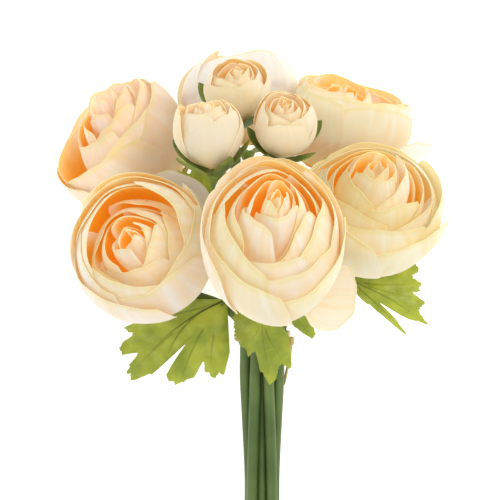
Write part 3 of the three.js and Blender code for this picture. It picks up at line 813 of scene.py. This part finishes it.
# edge is the leaf's outline, as angles and distances from its root. A vein turns from one angle to another,
# starts and ends at shares of the leaf's longest reach, and is as dark as its last number.
leaves = {
    "leaf_left": dict(
        root=(-10.5, -22.5, 52), onStem="bloom_left", rise=-0.1, arch=-5, ripple=1.6,
        veins=[(202, 214, 0.0, 0.72, 1.0), (204, 230, 0.2, 0.8, 0.7), (199, 193, 0.1, 0.8, 0.4),
               (212, 218, 0.5, 0.95, 0.4), (232, 242, 0.3, 0.8, 0.45), (250, 258, 0.3, 0.6, 0.35)],
        edge=[(180, 15), (191, 27), (196, 50), (200, 47), (203, 52), (208, 54.5), (211, 48), (216, 56),
              (221, 58), (225, 48), (227, 28), (231, 44), (238, 46.5), (243, 42), (247, 37), (249, 31),
              (253, 35), (261, 37), (267, 34), (273, 24)]),
    "leaf_centre": dict(
        root=(5.3, -29.2, 63.6), onStem="bloom_front", rise=-0.2, arch=-4, ripple=1,
        veins=[(270, 278, 0.0, 0.9, 0.4), (262, 243, 0.15, 0.5, 0.3), (284, 297, 0.2, 0.8, 0.35)],
        edge=[(154, 12), (178, 12.5), (200, 13.5), (224, 15.5), (235, 17.5), (243, 17), (252, 20),
              (260, 17.5), (265, 21), (269, 26), (278, 32.6), (283, 30), (288, 25), (292, 24), (297, 28),
              (314, 19), (331, 11), (362, 7)]),
    "leaf_right": dict(
        root=(46, -14, 50), onStem="bloom_right", rise=0.02, arch=-5, ripple=1.5,
        veins=[(319, 316, 0.0, 0.85, 0.5), (338, 331, 0.1, 0.9, 0.6), (342, 345, 0.2, 0.8, 0.35),
               (350, 358, 0.15, 0.8, 0.4), (362, 374, 0.2, 0.75, 0.35)],
        edge=[(296, 8), (308, 14), (312, 20), (316, 37), (319, 30), (323, 17), (327, 33), (331, 41),
              (337, 34), (342, 36), (348, 30), (356, 33.5), (362, 29), (372, 32), (379, 26), (388, 16),
              (400, 8)]),
    "leaf_small": dict(
        root=(16, -25.5, 56), onStem="bloom_right", rise=-0.05, arch=-2, ripple=0.8,
        veins=[(313, 310, 0.0, 0.9, 0.5)],
        edge=[(280, 6), (291, 9), (298, 12), (304, 15.5), (311, 20), (319, 18.5), (328, 13), (340, 7)]),
    "leaf_inner": dict(
        root=(-18, 12, 56), onStem="bud_left", rise=0.05, arch=-2, ripple=1.2,
        veins=[(82, 74, 0.1, 0.85, 0.5), (100, 102, 0.0, 0.9, 0.6), (114, 121, 0.1, 0.8, 0.5)],
        edge=[(50, 8), (62, 18), (74, 25), (82, 22), (92, 29), (103, 31), (112, 25), (121, 28), (131, 24),
              (142, 16), (155, 9)]),
    "leaf_back_left": dict(
        root=(-22, -9, 24), onStem="bloom_upper_left", rise=-0.04, arch=-3, ripple=1.2,
        veins=[(195, 189, 0.1, 0.85, 0.5), (204, 205, 0.0, 0.9, 0.6), (213, 219, 0.1, 0.85, 0.5)],
        edge=[(172, 9), (182, 20), (189, 33), (194, 28), (200, 37), (206, 39), (212, 31), (219, 36),
              (226, 32), (233, 22), (243, 11)]),
}


def edgeAt(edge, share):
    # the lobes' outline, a little rounded, with small teeth
    place = share * (len(edge) - 1)
    first = min(int(place), len(edge) - 2)
    t = place - first
    degrees = mix(edge[first][0], edge[first + 1][0], t)
    reach = mix(edge[first][1], edge[first + 1][1], mix(t, ramped(0, 1, t), leafMesh["rounding"]))
    teeth = noise.noise(Vector((degrees * leafMesh["toothScale"], edge[0][0], 0.5)))
    teeth += leafMesh["fineTeeth"] * noise.noise(Vector((degrees, 0, 0.5)))
    return degrees, reach * (1 + leafMesh["teeth"] * teeth)


def veinDepth(leaf, degrees, share):
    deepest = 0.0
    for fromAngle, toAngle, start, end, strength in leaf["veins"]:
        if start <= share <= end:
            past = (share - start) / (end - start)
            turned = abs(degrees - mix(fromAngle, toAngle, past))
            aside = turned * share * veins["reach"] / veins["arcDegrees"]
            width = mix(1.0, veins["tipWidth"], past)
            near, far = (side * width for side in veins["edge"])
            deepest = max(deepest, strength * (1 - past ** 3) * (1 - ramped(near, far, aside)))
    return deepest


def addLeafBlade(bm, layers, leaf):
    root = Vector(leaf["root"])
    longest = max(reach for angle, reach in leaf["edge"])
    made = bmesh.ops.create_grid(bm, x_segments=leafMesh["cellsAcross"], y_segments=leafMesh["cellsAlong"],
                                 size=1)
    for vert in made["verts"]:
        degrees, reach = edgeAt(leaf["edge"], (vert.co.x + 1) / 2)
        distance = reach * mix(leafMesh["rootShare"], 1, (vert.co.y + 1) / 2)
        share = distance / longest
        angle = math.radians(degrees)
        vein = veinDepth(leaf, degrees, share)
        turned = math.radians(leafMesh["ripplesBy"] * (degrees - leaf["edge"][0][0]))
        wave = leaf["ripple"] * share * math.cos(turned)
        outward = Vector((math.cos(angle), math.sin(angle), 0))
        crinkle = leafMesh["crinkle"] * noise.noise(outward * distance * leafMesh["crinkleScale"])
        lift = leaf["rise"] * distance + leaf["arch"] * share ** 2 + wave + crinkle
        height = lift - leafMesh["groove"] * vein + leafMesh["thickness"] / 2
        vert.co = inFrame(root + Vector((distance * math.cos(angle), distance * math.sin(angle), height)))
        vert[layers["vein"]] = vein


def makeLeaf(node, leaf):
    bm = bmesh.new()
    layers = addLayers(bm, ["vein", "along", "around"])
    addLeafBlade(bm, layers, leaf)
    thicken(bm, layers, leafMesh["thickness"])
    root = Vector(leaf["root"])
    line = heads[leaf["onStem"]]["line"]
    nearest = min(line, key=lambda point: (point - root).length)
    outward = (root - nearest).normalized()
    start = nearest + outward * (stem["radius"] - stalk["intoStem"])
    middle = math.radians(leaf["edge"][len(leaf["edge"]) // 2][0])
    inBlade = root + Vector((math.cos(middle), math.sin(middle), leaf["rise"])) * stalk["intoBlade"]
    stalkLine = throughPoints([start, root - (inBlade - root) * stalk["handle"], inBlade], stalk["steps"])
    before = set(bm.faces)
    addTube(bm, layers, stalkLine, lambda share, angle: mix(*stalk["radii"], share), stalk["sides"])
    fresh = [face for face in bm.faces if face not in before]
    bmesh.ops.recalc_face_normals(bm, faces=fresh)
    for face in fresh:
        face.smooth = len(face.verts) == 4
        for vert in face.verts:
            vert[layers["vein"]] = stalk["dark"]
    finishPiece(node + "_cloth", bm, leafCloth, node)


for node, leaf in leaves.items():
    makeLeaf(node, leaf)
print("leaves made")


# ---- raffia

raffia = dict(
    radius=0.8, turns=2, pitch=1.9, slack=1.0, below=1.5, strands=4, stepsPerTurn=36, pointEvery=4,
    looser=(-0.5, 0.3), shift=0.9, wander=0.35, wanders=1.7, width=0.62, flatter=0.3, sides=8, streaks=12)
# the bow's loop, from the knot: to the side, down the bundle and to the front
bow = dict(
    line=[(0.2, 0.5, 0), (0.4, 5, -2.6), (-0.4, 12, -3.4), (-1.6, 19, -3.8), (-2.2, 21.5, -4.8),
          (-1.6, 19, -6), (-0.2, 12, -6.2), (0.8, 5, -4.6), (0.8, 0.5, -1)],
    steps=60, side=0.5, sideShare=0.6, frontShare=0.5, drop=0.6, dropOver=20)
knot = dict(turns=3, points=12, aside=0.5, ahead=1.5, across=1.3, pitch=1.1, radius=0.7, steps=36)


def roundBundle(angle, clearance):
    # where a strand lies that is pulled round the stems
    normal = Vector((math.cos(angle), math.sin(angle)))
    places = [Vector(place) * bundle["pitch"] for place in tiedSlots]
    outermost = max(places, key=lambda place: place.dot(normal))
    return outermost + normal * (stem["radius"] + clearance)


def strandRadius(share, angle):
    return raffia["width"] - raffia["flatter"] * abs(math.sin(angle))


def addTurns(bm, layers, strand, draw):
    clearance = raffia["radius"] + raffia["slack"] + draw.uniform(*raffia["looser"])
    shift = draw.uniform(-raffia["shift"], raffia["shift"])
    steps = raffia["turns"] * raffia["stepsPerTurn"]
    line = []
    for k in range(steps + 1):
        turn = k / raffia["stepsPerTurn"]
        flat = roundBundle(2 * math.pi * turn, clearance)
        down = raffia["below"] + (turn - raffia["turns"] / 2) * raffia["pitch"] + shift
        down += raffia["wander"] * math.sin(2 * math.pi * turn * raffia["wanders"] + strand)
        line.append(tieCentre + bundleSide * flat.x + bundleFront * flat.y + bundleAxis * down)
    addTube(bm, layers, throughPoints(line[::raffia["pointEvery"]], steps), strandRadius, raffia["sides"])
    return line[-1]


def addBowLoop(bm, layers, knotAt, draw):
    side = draw.uniform(-bow["side"], bow["side"])
    drop = draw.uniform(-bow["drop"], bow["drop"])
    line = [knotAt + bundleSide * (across + side * bow["sideShare"])
            + bundleAxis * (down + drop * down / bow["dropOver"])
            + bundleFront * (ahead + side * bow["frontShare"]) for across, down, ahead in bow["line"]]
    addTube(bm, layers, throughPoints(line, bow["steps"]), strandRadius, raffia["sides"])


def addKnotTurn(bm, layers, knotAt, k):
    centre = knotAt + bundleSide * knot["aside"]
    line = []
    for j in range(knot["points"] + 1):
        angle = 2 * math.pi * j / knot["points"]
        line.append(centre + bundleFront * knot["ahead"] * math.cos(angle)
                    + bundleSide * knot["across"] * math.sin(angle) + bundleAxis * (k - 1) * knot["pitch"])
    smoothLine = throughPoints(line, knot["steps"])
    addTube(bm, layers, smoothLine, lambda share, angle: knot["radius"], raffia["sides"])


def makeRaffia():
    draw = random.Random("raffia")
    bm = bmesh.new()
    layers = addLayers(bm, ["along", "around", "across"])
    for strand in range(raffia["strands"]):
        knotAt = addTurns(bm, layers, strand, draw)
    for strand in range(raffia["strands"]):
        addBowLoop(bm, layers, knotAt, draw)
    for k in range(knot["turns"]):
        addKnotTurn(bm, layers, knotAt, k)
    for vert in bm.verts:
        vert[layers["across"]] = vert[layers["around"]]
        vert[layers["along"]] *= raffia["streaks"]
    bmesh.ops.recalc_face_normals(bm, faces=bm.faces[:])
    for face in bm.faces:
        face.smooth = True
    finishPiece("raffia_tie_strands", bm, raffiaFibre, "raffia_tie")


makeRaffia()
print("raffia made")


# ---- floor, light and camera

# the camera looks straight down on the bunch, which lies on its back
view = dict(distance=1.5, frameWidth=0.225, planeHeight=0.075, sensor=36.0, clipEnd=20.0)
floorLook = dict(surface={"Roughness": 0.9, "Emission Strength": 0.6}, light="FBFBFA", dark="F8F8F7",
                 patches=3.0, size=4.0)
lights = {
    "keyLight": dict(place=(0.75, 0.55, 1.35), size=0.9, power=9.0, tint=(1.0, 0.985, 0.96)),
    "fillLight": dict(place=(-1.1, -0.5, 1.2), size=1.4, power=5.5, tint=(0.97, 0.98, 1.0)),
}
lightsAim = Vector((0, 0.03, 0.06))
studio = {"Color": (1.0, 1.0, 1.0, 1.0), "Strength": 0.64}


def makeFloor(look):
    bm = bmesh.new()
    bmesh.ops.create_grid(bm, x_segments=1, y_segments=1, size=look["size"])
    mesh = bpy.data.meshes.new("floor")
    bm.to_mesh(mesh)
    bm.free()
    floor = bpy.data.objects.new("floor", mesh)
    bpy.context.scene.collection.objects.link(floor)
    material, tree, shader = newFinish("floorPaper", look["surface"])
    tree.links.new(driftOf(tree, look), shader.inputs["Base Color"])
    mesh.materials.append(material)


def makeLight(name, facts):
    light = bpy.data.lights.new(name, "AREA")
    light.shape = "DISK"
    light.size = facts["size"]
    light.energy = facts["power"]
    light.color = facts["tint"]
    lamp = bpy.data.objects.new(name, light)
    lamp.location = facts["place"]
    lamp.rotation_euler = (lightsAim - Vector(facts["place"])).to_track_quat("-Z", "Y").to_euler()
    bpy.context.scene.collection.objects.link(lamp)


makeFloor(floorLook)
for name, facts in lights.items():
    makeLight(name, facts)
world = bpy.data.worlds.new("studio")
world.use_nodes = True
for title, value in studio.items():
    world.node_tree.nodes["Background"].inputs[title].default_value = value
bpy.context.scene.world = world

camera = bpy.data.cameras.new("camera")
camera.sensor_width = view["sensor"]
camera.lens = view["sensor"] * (view["distance"] - view["planeHeight"]) / view["frameWidth"]
camera.clip_end = view["clipEnd"]
eye = bpy.data.objects.new("camera", camera)
eye.location = (toOrigin.x * mm, toOrigin.y * mm, view["distance"])
bpy.context.scene.collection.objects.link(eye)
bpy.context.scene.camera = eye
bpy.context.scene.view_settings.view_transform = "Standard"
